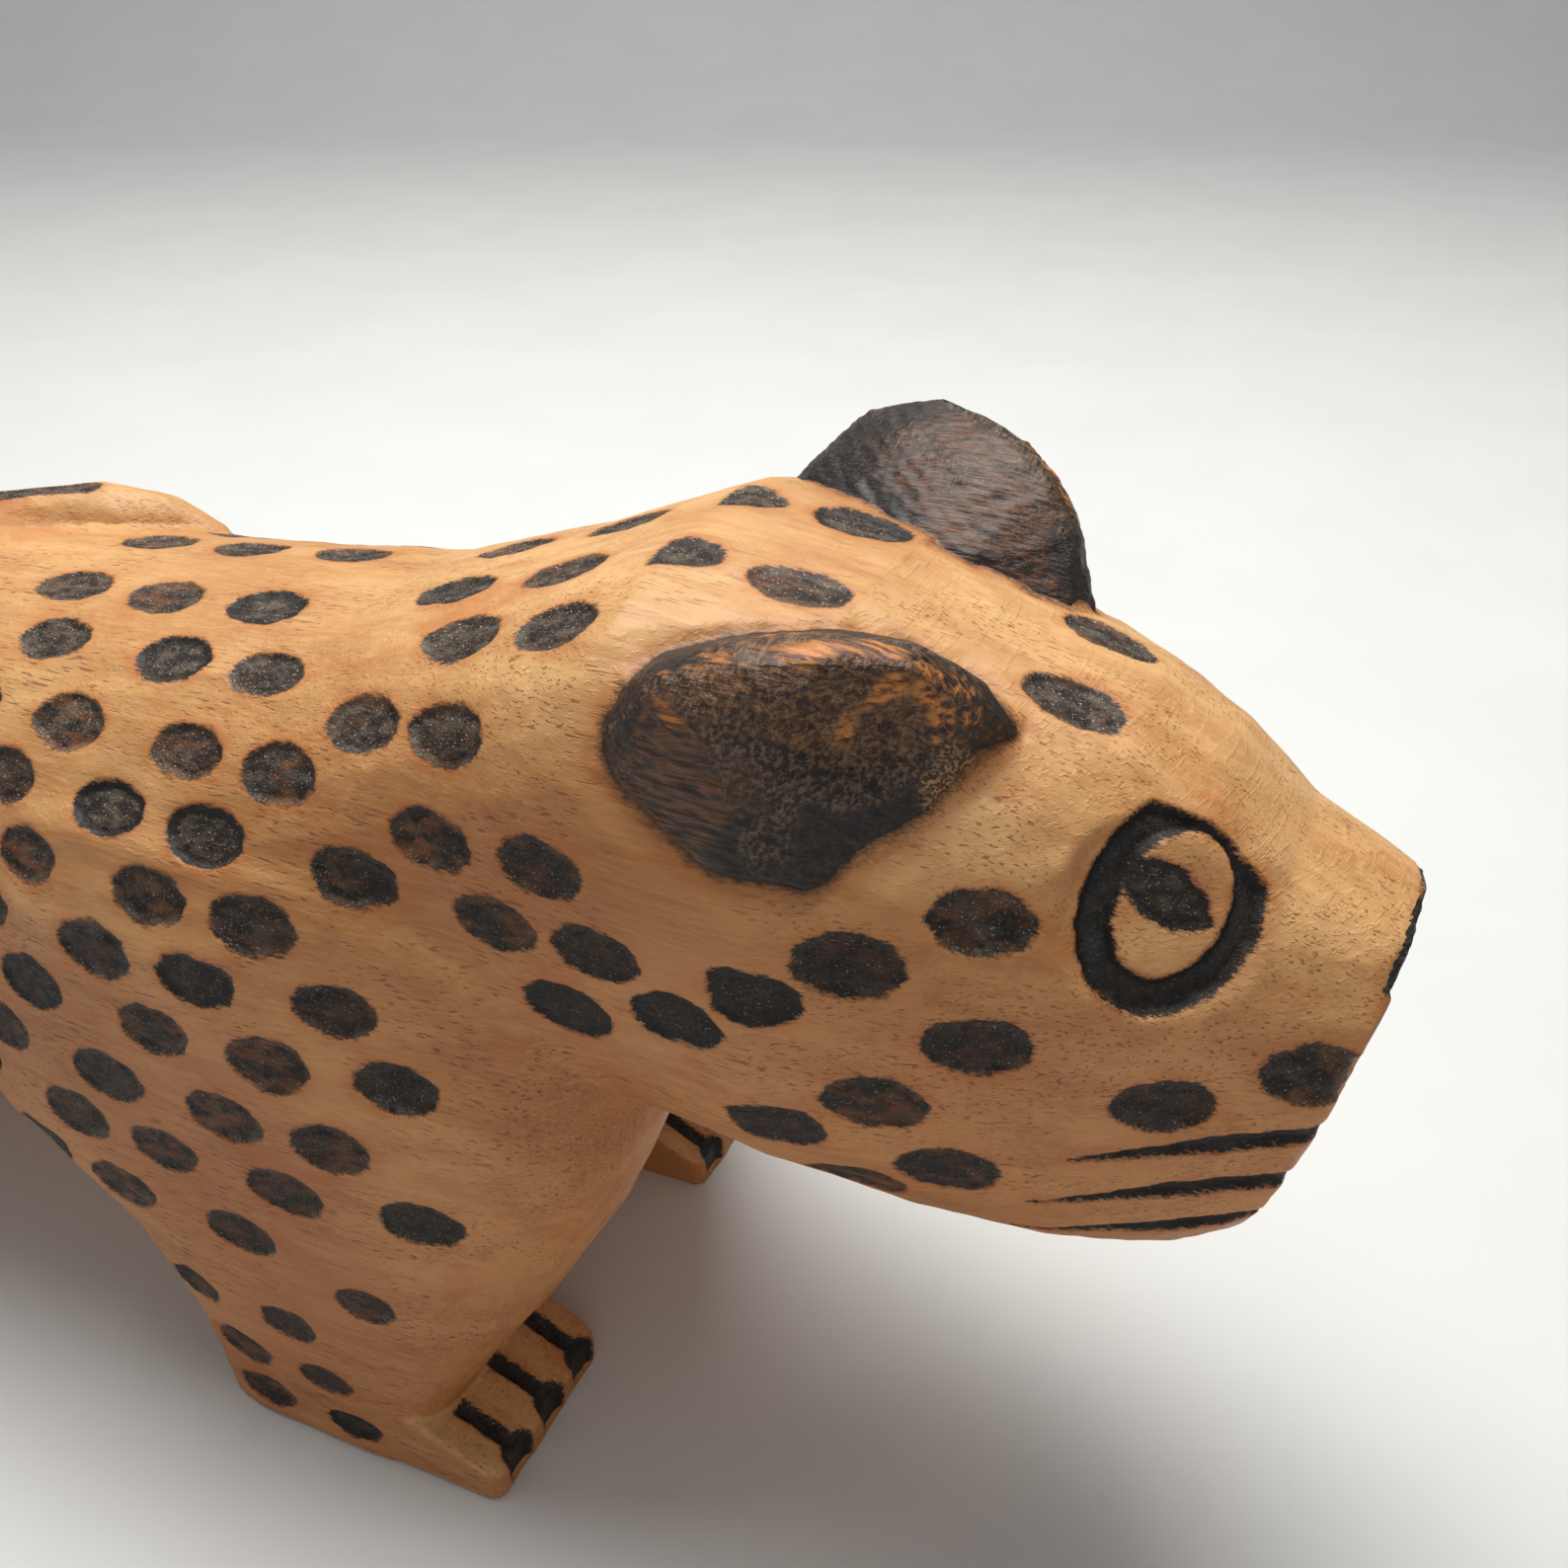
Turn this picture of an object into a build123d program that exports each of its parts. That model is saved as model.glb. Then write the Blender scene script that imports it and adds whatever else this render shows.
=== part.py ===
"""Carved wooden leopard: one carved block, with each burnt zone a separate solid seated in it.

Row frame, millimetres: +X towards the nose, +Y to the animal's left, +Z up.
The origin is on the floor, under the middle of the figure's length.
Everything is carved the same on both sides, so the left side is built and the right side mirrored.
"""

import os
from math import cos, pi, radians, sin

from build123d import *

# Trunk, neck and head. Each row: x, lean of the section, top, widest level, bottom, half width,
# squareness of the upper half, squareness of the lower half.
TRUNK_SECTIONS = [
    (-135, 0, 82, 66, 50, 13, 2.0, 2.0),
    (-129, 0, 91.5, 64, 40, 26, 2.1, 2.2),
    (-113, 0, 97, 62, 34, 36, 2.2, 2.8),
    (-85, 0, 98, 60, 33, 39, 2.2, 3.4),
    (-50, 0, 99, 60, 33, 39.5, 2.2, 3.8),
    (-15, 0, 102.5, 62, 35, 39, 2.2, 3.4),
    (15, 0, 106, 72, 40, 36.5, 2.3, 2.8),
    (38, 0, 113.5, 80, 49, 33, 2.8, 2.4),
    (57, 0, 121, 84, 55, 34.5, 3.3, 2.4),
    (76, 0, 119, 84, 52.5, 35.5, 3.3, 2.5),
    (92, 0, 114, 82, 50, 31.5, 2.9, 2.7),
    (105, 0, 111, 80, 48.5, 27.3, 2.3, 2.9),
    (113, 2, 106.6, 79, 48.5, 23.8, 2.2, 2.9),
    (120, 5, 99.8, 76, 49, 20.5, 2.2, 2.9),
    (129, 15, 95, 73, 51, 17, 2.2, 2.7),
]

# Shoulder or haunch and its leg: z, rear and front x, inner and outer y, squareness.
FRONT_LEG_SECTIONS = [
    (0, -1, 35, 16, 43, 5.0),
    (9, -3, 35, 16, 43, 4.5),
    (18, -7, 40, 15, 43.5, 4.0),
    (28, -16, 47, 12, 43.5, 3.5),
    (40, -40, 54, 4, 43, 3.2),
    (56, -43, 60, 0, 42.5, 3.0),
    (75, -40, 59, 0, 40.5, 2.7),
    (86, -35, 50, 0, 36, 2.4),
    (97, -22, 34, 0, 22, 2.2),
]
HIND_LEG_SECTIONS = [
    (0, -132, -98, 16, 43, 5.0),
    (9, -133, -98, 16, 43, 4.5),
    (18, -133, -92, 15, 43.5, 4.0),
    (28, -134, -82, 12, 43.5, 3.5),
    (40, -134, -68, 4, 43.5, 3.0),
    (56, -133, -64, 0, 43, 2.6),
    (75, -129, -66, 0, 40.5, 2.3),
    (84, -124, -72, 0, 32, 2.2),
    (92, -116, -82, 0, 19, 2.1),
]
SECTION_POINTS = 16

# The knife-cut flat at the front of the shoulder: a point on it and the way it faces.
SHOULDER_FLAT_POINT = (61, 34, 71)
SHOULDER_FLAT_FACING = (0.141, 0.97, 0.2)

# Paw, a wedge that slopes down to the toes.
PAW_LENGTH = 42.5
PAW_FRONT = 44.5
PAW_INNER = 16.5
PAW_OUTER = 42.5
PAW_HEIGHT = 10
TOE_HEIGHT = 4.5
TOE_SLOPE_LENGTH = 12
PAW_EDGE = 2.5
HIND_PAW_SHIFT = -133
TOE_GROOVES_Y = (21, 29, 37)
TOE_GROOVE_WIDTH = 1.7
TOE_GROOVE_LENGTH = 9.5
CLAW_RADIUS = 2.4

# Tail in relief: over the rump, along the back, its tip turned to the left.
# Each row: x, y, z of its middle, half width, half height.
TAIL_SECTIONS = [
    (-130, 0, 64, 4.0, 4.5),
    (-127.5, 0, 85, 5.5, 5.5),
    (-112, 0, 96.5, 6.2, 5.0),
    (-80, 2, 97, 6.2, 4.8),
    (-62, 8, 97.2, 6.0, 4.6),
    (-48, 15, 99.2, 5.2, 4.4),
    (-38, 19, 98.4, 3.8, 3.4),
    (-31, 21.5, 96.2, 1.4, 1.2),
]
TAIL_BURN_WIDTH = 1.9
TAIL_BURN_HEIGHT = 1.1

# Ears: a lump on a tilted base, the left one longer and taller than the right.
# Each row: station along the ear, outer edge, inner edge, ridge height, ridge offset inwards.
EAR_ROOT = (76, 24, 110)
EAR_ALONG = (0.941, -0.338, -0.024)
EAR_FACING = (0.223, 0.565, 0.795)
RIGHT_EAR_SECTIONS = [
    (-18, 2.0, 4.0, 1.5, 1.0),
    (-12, 8.0, 10.0, 9.0, 3.0),
    (-5, 12.5, 12.0, 12.0, 4.0),
    (3, 13.5, 13.0, 13.5, 4.5),
    (11, 9.5, 12.5, 12.5, 4.5),
    (17, 4.0, 9.0, 8.2, 4.5),
    (22, -2.5, 5.5, 1.5, 3.9),
]
LEFT_EAR_SECTIONS = [
    (-25, 2.0, 4.0, 2.0, 1.0),
    (-17, 8.0, 11.0, 14.0, 3.0),
    (-8, 12.5, 14.0, 17.3, 4.0),
    (3, 13.5, 14.5, 16.5, 4.5),
    (11, 9.5, 13.0, 13.2, 4.5),
    (17, 4.0, 9.0, 8.2, 4.5),
    (22, -2.5, 5.5, 1.5, 3.9),
]
EAR_INNER_SHOULDER = 0.66
EAR_OUTER_SHOULDER = 0.64
EAR_SEAT = 6.0
EAR_INNER_DROP = 3.5
EAR_SCOOP_AT = (8.5, 7.8, 14.0)
EAR_SCOOP_SIZE = (12.0, 10.5, 10.5)

# Eye: middle of the flat it lies on, the way the flat faces, and the ellipses burnt into it.
EYE_MIDDLE = (112.4, 17.1, 98.1)
EYE_FACING = (0.45, 0.76, 0.47)
EYE_TILT = 19
EYE_FLAT = (11.8, 9.5)
EYE_FLAT_SPREAD = 6.0
EYE_RING_OUTER = (10.8, 8.5)
EYE_RING_INNER = (7.7, 5.5)
PUPIL_LENGTH = 9.6
PUPIL_WIDTH = 4.5
PUPIL_AT = (-1.0, -0.8)
PUPIL_TURN = 22

# Muzzle: nose patch on the sloping front face, and three tapering whisker lines on each side.
NOSE_OUTLINE = ((-11.5, 26), (11.5, 26), (11.5, 17), (5, 9), (1.2, 6), (-1.2, 6), (-5, 9), (-11.5, 17))
WHISKER_LINES = (
    ((107.5, 71.5), (132, 75.5)),
    ((104, 64.5), (130, 68.5)),
    ((102, 57.5), (127, 61)),
)
WHISKER_WIDTH = 2.0
MUZZLE_INSIDE_Y = 5

# Burn depth, and how far the burning tool stands out of the surface.
BURN_DEPTH = 0.9
TOOL_REACH = 4.0

# Spots: ovals laid with the grain. Each row on the head and neck: angle round the spine from straight up,
# then the stations along it.
SPOT_SIZE = (5.2, 3.2)
SPINE_Z = 70
HEAD_ROWS = [
    (10, (71, 84, 99)),
    (29, (103,)),
    (44, (97,)),
    (54, (86, 128)),
    (62, (77, 98)),
    (69, (69, 115)),
    (77, (89,)),
    (87, (79,)),
    (93, (96,)),
    (104, (86,)),
    (118, (97,)),
    (128, (86, 108)),
]
NECK_ROWS = [
    (9, (28, 43, 57)),
    (23, (36, 49)),
    (38, (28, 40, 52)),
    (52, (40, 54)),
    (62, (48, 60)),
    (74, (56,)),
]
# On the back and flank: angle, first station and number of spots, evenly pitched but wandering a little.
BODY_PITCH = 17.0
BODY_WANDER = 1.6
WANDER_STEP = 2.4
BACK_ROWS = [
    (14, -116, 8),
    (31, -108, 8),
]
FLANK_ROWS = [
    (48, -116, 9),
    (61, -124, 10),
    (73, -116, 9),
    (85, -124, 10),
    (97, -116, 10),
    (109, -124, 10),
    (119, -116, 10),
    (128, -108, 8),
]
# Low on the legs: level above the floor, then distances behind the toes.
LEG_SPOT_SIZE = (4.1, 2.4)
LEG_ROWS = [
    (31, (46, 28, 14)),
    (22, (42, 27)),
    (13, (36, 23)),
    (5, (34, 20)),
]
FRONT_TOE_X = 43
HIND_TOE_X = -90
SPOT_GAP = 0.8
SPOT_MARGIN = 0.6


def superellipse_points(half_x, up, down, n_up, n_down):
    """Points of a closed outline, symmetric about its own Y axis, round (n = 2) to boxy (n > 2)."""
    points = []
    for k in range(SECTION_POINTS):
        angle = 2 * pi * k / SECTION_POINTS - pi / 2
        c, s = cos(angle), sin(angle)
        n, reach = (n_up, up) if s >= 0 else (n_down, down)
        points.append((
            half_x * abs(c) ** (2 / n) * (1 if c >= 0 else -1),
            reach * abs(s) ** (2 / n) * (1 if s >= 0 else -1),
        ))
    return points


def tail_loft(sections, rise, half_width, half_height):
    """Ridge that follows the tail: rise moves it up by that share of the tail's own half height."""
    points = [Vector(x, y, z + rise * high) for x, y, z, wide, high in sections]
    with BuildPart() as ridge:
        for k, (x, y, z, wide, high) in enumerate(sections):
            tangent = points[min(k + 1, len(points) - 1)] - points[max(k - 1, 0)]
            across = Vector(0, 0, 1).cross(tangent).normalized()
            with BuildSketch(Plane(origin=points[k], x_dir=across, z_dir=tangent)):
                Ellipse(half_width or wide, half_height or high)
        loft(ruled=True)
    return ridge.part


def eye_plane(side, out=0.0):
    """Plane of the flat the eye is burnt into, X towards the nose and Y up, for side +1 or -1."""
    facing = Vector(EYE_FACING[0], side * EYE_FACING[1], EYE_FACING[2]).normalized()
    middle = Vector(EYE_MIDDLE[0], side * EYE_MIDDLE[1], EYE_MIDDLE[2]) + facing * out
    return Plane(origin=middle, x_dir=Vector(1, 0, 0), z_dir=facing)


def eye_turn(side):
    """Turn of an eye ellipse in its plane: nearly upright, its top leaning towards the nose."""
    return 90 + side * EYE_TILT


def trunk():
    """Torso, neck and head along the spine, with a flat cut for each eye."""
    with BuildPart() as body:
        for x, lean, top, wide, bottom, half_width, n_up, n_down in TRUNK_SECTIONS:
            normal = Vector(1, 0, 0).rotate(Axis.Y, lean)
            with BuildSketch(Plane(origin=(x, 0, wide), x_dir=(0, 1, 0), z_dir=normal)):
                with BuildLine():
                    Spline(
                        *superellipse_points(half_width, top - wide, wide - bottom, n_up, n_down),
                        periodic=True,
                    )
                make_face()
        loft(ruled=True)
        for side in (1, -1):
            for out, spread in ((0, 0), (TOOL_REACH, EYE_FLAT_SPREAD)):
                with BuildSketch(eye_plane(side, out)):
                    Ellipse(EYE_FLAT[0] + spread, EYE_FLAT[1] + spread, rotation=eye_turn(side))
            loft(mode=Mode.SUBTRACT)
    return body.part


def paw():
    """Left front paw, flat below, its top sloping down to the toes."""
    with BuildPart() as foot:
        with BuildSketch(Plane.XZ.offset(-PAW_OUTER)):
            with BuildLine():
                Polyline(
                    (PAW_FRONT - PAW_LENGTH, 0),
                    (PAW_FRONT, 0),
                    (PAW_FRONT, TOE_HEIGHT),
                    (PAW_FRONT - TOE_SLOPE_LENGTH, PAW_HEIGHT),
                    (PAW_FRONT - PAW_LENGTH, PAW_HEIGHT),
                    close=True,
                )
            make_face()
        extrude(amount=PAW_OUTER - PAW_INNER)
        fillet(foot.edges().filter_by(Axis.Z), PAW_EDGE)
    return foot.part


def leg(sections, foot, flat_facing=None):
    """Left leg from the sole up into the trunk, with its paw."""
    with BuildPart() as limb:
        for z, x_rear, x_front, y_in, y_out, n in sections:
            half_x, half_y = (x_front - x_rear) / 2, (y_out - y_in) / 2
            with BuildSketch(Plane(origin=(x_rear + half_x, y_in + half_y, z))):
                with BuildLine():
                    Spline(*superellipse_points(half_x, half_y, half_y, n, n), periodic=True)
                make_face()
        loft(ruled=True)
        if flat_facing:
            split(bisect_by=Plane(origin=SHOULDER_FLAT_POINT, z_dir=flat_facing), keep=Keep.BOTTOM)
        add(foot)
    return limb.part


def ear(sections):
    """Ear on the left: a ridge that peaks towards the front, with a scoop cut in its outer side."""
    along, facing = Vector(*EAR_ALONG).normalized(), Vector(*EAR_FACING).normalized()
    across = facing.cross(along)
    root = Vector(*EAR_ROOT)
    at, over, up = EAR_SCOOP_AT
    place = Plane(origin=root + along * at + across * over + facing * up, x_dir=along, z_dir=facing)
    scoop = scale(Solid.make_sphere(1), by=EAR_SCOOP_SIZE).moved(place.location)
    with BuildPart() as lump:
        for station, outer, inner, height, ridge in sections:
            with BuildSketch(Plane(origin=root + along * station, x_dir=across, z_dir=along)):
                with BuildLine():
                    crest = Spline(
                        (-inner, -EAR_INNER_DROP),
                        (-(inner + ridge) / 2, EAR_INNER_SHOULDER * height),
                        (-ridge, height),
                        ((outer - ridge) / 2, EAR_OUTER_SHOULDER * height),
                        (outer, 0),
                    )
                    Polyline(crest @ 1, (outer, -EAR_SEAT), (-inner, -EAR_SEAT), crest @ 0)
                make_face()
        loft(ruled=True)
        add(scoop, mode=Mode.SUBTRACT)
    return lump.part


def farthest_exit(form, origin, direction):
    """Where a line from inside the form finally leaves it, with the outward normal there."""
    ray = Axis(origin, direction)
    exits = []
    for point, normal in form.find_intersection_points(ray):
        reach = (point - origin).dot(direction)
        if reach > 0:
            exits.append((reach, point, normal if normal.dot(direction) > 0 else -normal))
    return max(exits, key=lambda found: found[0]) if exits else None


def surface_plane(point, normal):
    """Plane on the surface, its X along the grain."""
    return Plane(origin=point, x_dir=Vector(1, 0, 0) - normal * normal.X, z_dir=normal)


def oval_tool(plane, size):
    """Oval burning tool, sunk to the burn depth at a plane on the surface."""
    with BuildPart() as tool:
        with BuildSketch(plane.offset(-BURN_DEPTH)):
            Ellipse(*size)
        extrude(amount=BURN_DEPTH + TOOL_REACH)
    return tool.part


def wedge_tool(start, finish, width, facing):
    """Long burning tool that widens from a point at the start."""
    length = (finish - start).length
    plane = Plane(origin=start, x_dir=finish - start, z_dir=facing)
    with BuildPart() as tool:
        with BuildSketch(plane.offset(-BURN_DEPTH)):
            with BuildLine():
                Polyline((0, 0), (length / 2, -width / 2), (length, -width / 2), (length, width / 2),
                         (length / 2, width / 2), close=True)
            make_face()
        extrude(amount=BURN_DEPTH + TOOL_REACH)
    return tool.part


def round_spine(rows):
    """Lines out from the spine to each spot of each row."""
    for angle, stations in rows:
        outward = Vector(0, sin(radians(angle)), cos(radians(angle)))
        for x in stations:
            yield Vector(x, 0, SPINE_Z), outward


def even_rows(rows):
    """Rows of evenly pitched stations, each wandering a little as a hand-burnt row does."""
    for angle, first, number in rows:
        wander = [BODY_WANDER * sin(WANDER_STEP * k + angle) for k in range(number)]
        yield angle, [first + BODY_PITCH * k + wander[k] for k in range(number)]


def up_the_leg(toe_x):
    """Lines straight out to the spots on the outside of a leg."""
    for level, distances in LEG_ROWS:
        for distance in distances:
            yield Vector(toe_x - distance, 0, level), Vector(0, 1, 0)


def crowded(point, size, taken):
    """Whether a spot here would come too near one already placed."""
    for other, other_size in taken:
        gap = point - other
        along = gap.X / (size[0] + other_size[0] + SPOT_GAP)
        across = (gap.Y**2 + gap.Z**2) ** 0.5 / (size[1] + other_size[1] + SPOT_GAP)
        if along**2 + across**2 < 1:
            return True
    return False


def spots(forms, lines, size, taken, keep_clear):
    """Spots where the lines leave the block, skipping any too near another spot or a carved feature."""
    tools = []
    for origin, direction in lines:
        exits = [(farthest_exit(form, origin, direction), form) for form in forms]
        exits = [(found, form) for found, form in exits if found]
        if not exits:
            continue
        (_, point, normal), form = max(exits, key=lambda pair: pair[0][0])
        if crowded(point, size, taken):
            continue
        tool = oval_tool(surface_plane(point, normal), size)
        if any(tool.distance_to(feature) < SPOT_MARGIN for feature in keep_clear):
            continue
        taken.append((point, size))
        tools.append((tool, form))
    return tools


def burnt(pairs):
    """The wood inside each tool."""
    solids = []
    for tool, form in pairs:
        solids.extend((tool & form).solids())
    return solids


def eye_tools():
    """Left eye: the ring and the leaf-shaped pupil that meets it."""
    base = eye_plane(1, -BURN_DEPTH)
    with BuildPart() as ring:
        with BuildSketch(base):
            Ellipse(*EYE_RING_OUTER, rotation=eye_turn(1))
            Ellipse(*EYE_RING_INNER, rotation=eye_turn(1), mode=Mode.SUBTRACT)
        extrude(amount=BURN_DEPTH + TOOL_REACH)
    leaf = Plane(base.location * Location((*PUPIL_AT, 0), (0, 0, PUPIL_TURN)))
    tip, bulge = PUPIL_LENGTH / 2, PUPIL_WIDTH / 2
    with BuildPart() as pupil:
        with BuildSketch(leaf):
            with BuildLine():
                ThreePointArc((-tip, 0), (0, bulge), (tip, 0))
                ThreePointArc((tip, 0), (0, -bulge), (-tip, 0))
            make_face()
        extrude(amount=BURN_DEPTH + TOOL_REACH)
        add(ring.part, mode=Mode.SUBTRACT)
    return ring.part, pupil.part


def whisker_tools(form):
    """Left whisker lines, widening towards the front of the muzzle."""
    tools = []
    for (x_rear, z_rear), (x_front, z_front) in WHISKER_LINES:
        ends = []
        for x, z in ((x_rear, z_rear), ((x_rear + x_front) / 2, (z_rear + z_front) / 2)):
            ends.append(farthest_exit(form, Vector(x, MUZZLE_INSIDE_Y, z), Vector(0, 1, 0)))
        (_, rear, _), (_, middle, facing) = ends
        tools.append(wedge_tool(rear, rear + (middle - rear) * 2, WHISKER_WIDTH, facing))
    return tools


def nose_tool():
    """Patch on the sloping front of the muzzle, wrapping its top corners."""
    x, lean, _, level = TRUNK_SECTIONS[-1][:4]
    front = Plane(origin=(x, 0, level), x_dir=(0, 1, 0), z_dir=Vector(1, 0, 0).rotate(Axis.Y, lean))
    with BuildPart() as tool:
        with BuildSketch(front.offset(-BURN_DEPTH)):
            Polygon(*NOSE_OUTLINE, align=None)
        extrude(amount=BURN_DEPTH + TOOL_REACH)
    return tool.part


def claw_tools(toe_shift):
    """Left paw: the three burnt grooves between the toes, each ending in a wider claw mark."""
    slope = Vector(TOE_SLOPE_LENGTH, 0, TOE_HEIGHT - PAW_HEIGHT).normalized()
    facing = slope.cross(Vector(0, -1, 0))
    tools = []
    for y in TOE_GROOVES_Y:
        toe = Vector(PAW_FRONT + toe_shift, y, TOE_HEIGHT) - facing * BURN_DEPTH
        with BuildPart() as tool:
            with BuildSketch(Plane(origin=toe, x_dir=-slope, z_dir=facing)):
                Circle(CLAW_RADIUS)
                with Locations((TOE_GROOVE_LENGTH / 2, 0)):
                    Rectangle(TOE_GROOVE_LENGTH, TOE_GROOVE_WIDTH)
            extrude(amount=BURN_DEPTH + TOOL_REACH)
        tools.append(tool.part)
    return tools


trunk_form = trunk()
front_leg = leg(FRONT_LEG_SECTIONS, paw(), SHOULDER_FLAT_FACING)
hind_leg = leg(HIND_LEG_SECTIONS, paw().moved(Location((HIND_PAW_SHIFT, 0, 0))))
tail = tail_loft(TAIL_SECTIONS, 0, None, None)
left_ear = ear(LEFT_EAR_SECTIONS)
right_ear = mirror(ear(RIGHT_EAR_SECTIONS), about=Plane.XZ)
ring, pupil = eye_tools()
nose = nose_tool()
tail_burn = tail_loft(TAIL_SECTIONS[2:-2], 1.0, TAIL_BURN_WIDTH, TAIL_BURN_HEIGHT)

# Tools for the left side, each with the part of the block it burns; the right side is the mirror image.
whiskers = whisker_tools(trunk_form)
left_tools = {
    "eye_ring": [(ring, trunk_form)],
    "eye_pupil": [(pupil, trunk_form)],
    "whisker_burns": [(tool, trunk_form) for tool in whiskers],
    "front_claw_burns": [(tool, front_leg) for tool in claw_tools(0)],
    "hind_claw_burns": [(tool, hind_leg) for tool in claw_tools(HIND_PAW_SHIFT)],
}
features = [left_ear, tail, ring, *whiskers]
coat = {
    "head_spots": ([trunk_form], round_spine(HEAD_ROWS), features),
    "neck_spots": ([trunk_form], round_spine(NECK_ROWS), features),
    "back_spots": ([trunk_form], round_spine(even_rows(BACK_ROWS)), features),
    "flank_spots": ([trunk_form, front_leg, hind_leg], round_spine(even_rows(FLANK_ROWS)), []),
}
taken = []
for name, (forms, lines, keep_clear) in coat.items():
    left_tools[name] = spots(forms, lines, SPOT_SIZE, taken, keep_clear)
for name, limb, toe_x in (("front", front_leg, FRONT_TOE_X), ("hind", hind_leg, HIND_TOE_X)):
    lines = up_the_leg(toe_x)
    left_tools[name + "_leg_spots"] = spots([limb], lines, LEG_SPOT_SIZE, taken, [])
parts = {
    "left_ear": [left_ear],
    "right_ear": [right_ear],
    "nose_burn": (nose & trunk_form).solids(),
    "tail_burn": (tail_burn & tail).solids(),
}
tools = [left_ear, right_ear, nose, tail_burn]
for name, pairs in left_tools.items():
    solids = burnt(pairs)
    parts["left_" + name] = solids
    parts["right_" + name] = [mirror(solid, about=Plane.XZ) for solid in solids]
    for tool, _ in pairs:
        tools.extend((tool, mirror(tool, about=Plane.XZ)))

with BuildPart() as carved_block:
    add(trunk_form)
    for limb in (front_leg, hind_leg):
        add(limb)
        add(mirror(limb, about=Plane.XZ))
    add(tail)
    add(tools, mode=Mode.SUBTRACT)
parts["carved_block"] = carved_block.part.solids()

os.makedirs("parts", exist_ok=True)
for name, solids in parts.items():
    with BuildPart() as piece:
        add(solids)
    piece.part.label = name
    export_step(piece.part, f"parts/{name}.step")
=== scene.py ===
"""Looks of the carved wooden leopard: block, scorched ears and every iron-burnt mark, in the row frame."""

import math

import bpy
import numpy as np
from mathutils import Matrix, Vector
from mathutils.bvhtree import BVHTree


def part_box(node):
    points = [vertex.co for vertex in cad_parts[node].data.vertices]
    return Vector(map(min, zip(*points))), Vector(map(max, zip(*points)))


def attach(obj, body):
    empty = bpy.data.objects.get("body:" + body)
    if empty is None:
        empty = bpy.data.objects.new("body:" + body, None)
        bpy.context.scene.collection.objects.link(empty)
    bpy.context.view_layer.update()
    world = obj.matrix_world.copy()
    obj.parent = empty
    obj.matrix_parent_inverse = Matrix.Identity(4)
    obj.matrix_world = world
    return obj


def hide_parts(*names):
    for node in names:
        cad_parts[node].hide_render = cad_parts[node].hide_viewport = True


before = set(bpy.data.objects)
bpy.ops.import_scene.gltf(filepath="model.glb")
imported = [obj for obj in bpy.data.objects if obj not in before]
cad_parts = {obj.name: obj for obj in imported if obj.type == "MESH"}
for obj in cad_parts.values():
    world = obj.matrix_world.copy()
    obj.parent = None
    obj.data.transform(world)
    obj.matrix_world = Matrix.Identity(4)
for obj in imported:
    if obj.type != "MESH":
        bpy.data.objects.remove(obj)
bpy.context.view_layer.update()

MM = 0.001

# Mesh sizes, in millimetres
BODY_VOXEL = 0.45
EAR_VOXEL = 0.35
FACET_VOXEL = 2.0
EAR_FILL_INSET = 0.5

# Knife work
BODY_FACETS = 1700
BODY_FACET_PULL = 0.6
BODY_FACET_LIMIT = 0.9
EAR_FACETS = 80
EAR_FACET_PULL = 0.95
EAR_FACET_LIMIT = 1.5
SMOOTH_ROUNDS = 7
EAR_FOOT_ROUNDS = 60
PAW_SHARP_BELOW, PAW_SMOOTH_ABOVE = 9, 16
EYE_SHARP_WITHIN, EYE_SMOOTH_BEYOND = 9, 15
EAR_FOOT_REACH = 8
EAR_FOOT_FULL = 2

# Burns: how deep each kind sinks below the wood
BURN_SINK = {
    "eye_ring": 1.05,
    "eye_pupil": 0.35,
    "whisker_burns": 0.7,
    "claw_burns": 0.8,
    "spots": 0.42,
    "nose_burn": 0.3,
    "tail_burn": 0.35,
}
BURN_REACH = 6.0
CRUST_INSET = 0.5
CRUST_LIFT = 0.05
CRUST_DEPTH = 0.4
TAIL_STRIPE_HALF = 1.9
BURN_SPREAD = {"eye_ring": 0.25, "eye_pupil": 0.55, "whisker_burns": 0.1, "claw_burns": 0.3, "nose_burn": 0.0}
DEEP_WARMTH = 0.05
CRUST_SMALLEST = 12
RIM_DIP = 0.12
FLOOR_SHARE = 0.5
FLOOR_OPPOSITE = -0.8


# ---------------------------------------------------------------- mesh arrays
def arrays(mesh):
    """Vertices in millimetres and triangles of a mesh."""
    mesh.calc_loop_triangles()
    points = np.empty(len(mesh.vertices) * 3, np.float32)
    mesh.vertices.foreach_get("co", points)
    triangles = np.empty(len(mesh.loop_triangles) * 3, np.int32)
    mesh.loop_triangles.foreach_get("vertices", triangles)
    return points.reshape(-1, 3).astype(float) / MM, triangles.reshape(-1, 3)


def weld(points, triangles):
    """The same surface with coincident vertices joined."""
    _, first, inverse = np.unique(points.round(3), axis=0, return_index=True, return_inverse=True)
    triangles = inverse.ravel()[triangles]
    kept = (triangles[:, 0] != triangles[:, 1]) & (triangles[:, 1] != triangles[:, 2])
    kept &= triangles[:, 0] != triangles[:, 2]
    return points[first], triangles[kept]


def make_mesh(name, points, faces):
    mesh = bpy.data.meshes.new(name)
    mesh.from_pydata((points * MM).tolist(), [], faces.tolist() if hasattr(faces, "tolist") else faces)
    mesh.update()
    return mesh


def make_piece(name, mesh):
    piece = bpy.data.objects.new(name, mesh)
    bpy.context.scene.collection.objects.link(piece)
    mesh.polygons.foreach_set("use_smooth", [True] * len(mesh.polygons))
    return piece


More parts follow.
